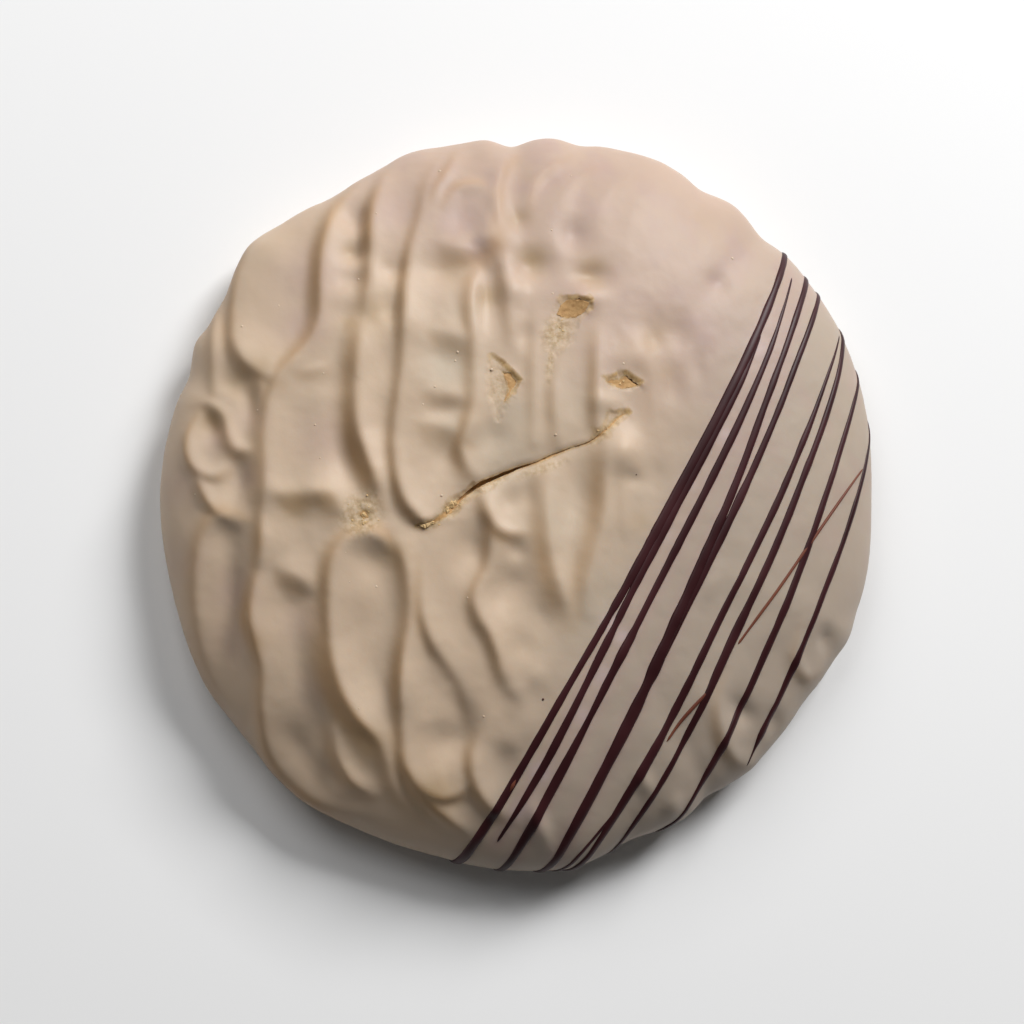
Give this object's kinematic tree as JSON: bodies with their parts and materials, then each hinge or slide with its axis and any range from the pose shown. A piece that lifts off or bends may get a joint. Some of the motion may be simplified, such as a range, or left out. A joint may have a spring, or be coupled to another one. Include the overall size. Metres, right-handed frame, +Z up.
{
  "type": "lebkuchen",
  "caption": "Round domed gingerbread biscuit in a rippled cream coating, cracked open over the middle, with fine dark chocolate stripes drizzled over one side.",
  "frame": {"origin": "centre of the bounding box in plan, on the flat base", "axes": "+Z up out of the domed top, +Y away from the viewer at the top of the shown view, +X to its right"},
  "size_m": [0.0958, 0.0984, 0.0176],
  "materials": {
    "biscuit": "matte, coarse golden-brown crumb",
    "coating": "satin cream coating like white chocolate"
  },
  "bodies": {
    "root": {"biscuit": "biscuit", "coating": "coating"}
  },
  "joints": []
}
